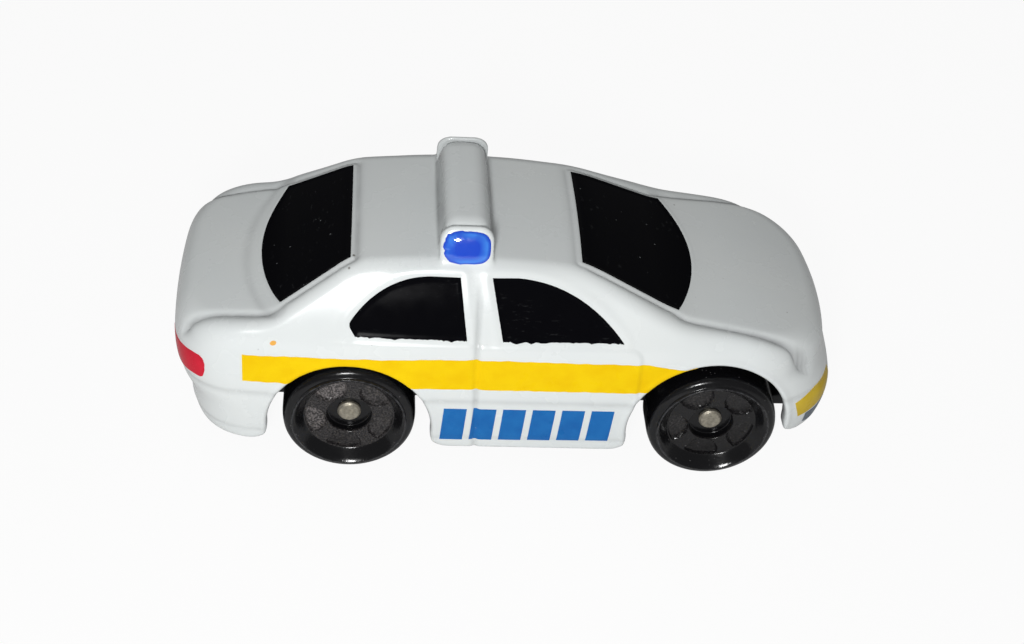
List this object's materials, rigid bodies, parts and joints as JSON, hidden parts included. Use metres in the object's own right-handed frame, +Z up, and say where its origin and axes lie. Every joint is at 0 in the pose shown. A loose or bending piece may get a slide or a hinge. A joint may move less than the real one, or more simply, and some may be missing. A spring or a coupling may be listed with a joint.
{
  "type": "toy police car",
  "caption": "Die-cast toy police saloon with a roof light bar, dark windows, a moulded base and wheel sets that roll freely in bearings under the body.",
  "frame": {"origin": "on the ground under the middle of the car's bounding box", "axes": "+X forward along the car, +Y to the car's left, +Z up"},
  "size_m": [0.0758, 0.0302, 0.0302],
  "materials": {
    "white_paint": "thick gloss paint",
    "base_plastic": "moulded satin",
    "window_black": "gloss",
    "beacon_blue": "gloss",
    "axle_steel": "cut wire",
    "wheel_plastic": "moulded satin",
    "screw_steel": "plain"
  },
  "bodies": {
    "body": {"body_shell": "white_paint", "base_plate": "base_plastic", "windscreen": "window_black", "rear_window": "window_black", "front_side_window_right": "window_black", "front_side_window_left": "window_black", "rear_side_window_right": "window_black", "rear_side_window_left": "window_black", "beacon_lens_right": "beacon_blue", "beacon_lens_left": "beacon_blue", "screw_front": "screw_steel", "screw_rear": "screw_steel"},
    "rear_wheelset": {"rear_axle": "axle_steel", "wheel_rear_right": "wheel_plastic", "wheel_rear_left": "wheel_plastic"},
    "front_wheelset": {"front_axle": "axle_steel", "wheel_front_right": "wheel_plastic", "wheel_front_left": "wheel_plastic"}
  },
  "joints": [
    {"name": "rear_roll", "type": "hinge", "parent": "body", "child": "rear_wheelset", "pos_m": [-0.01815, 0, 0.0074], "axis": [0, 1, 0], "continuous": true},
    {"name": "front_roll", "type": "hinge", "parent": "body", "child": "front_wheelset", "pos_m": [0.02285, 0, 0.0074], "axis": [0, 1, 0], "continuous": true}
  ]
}
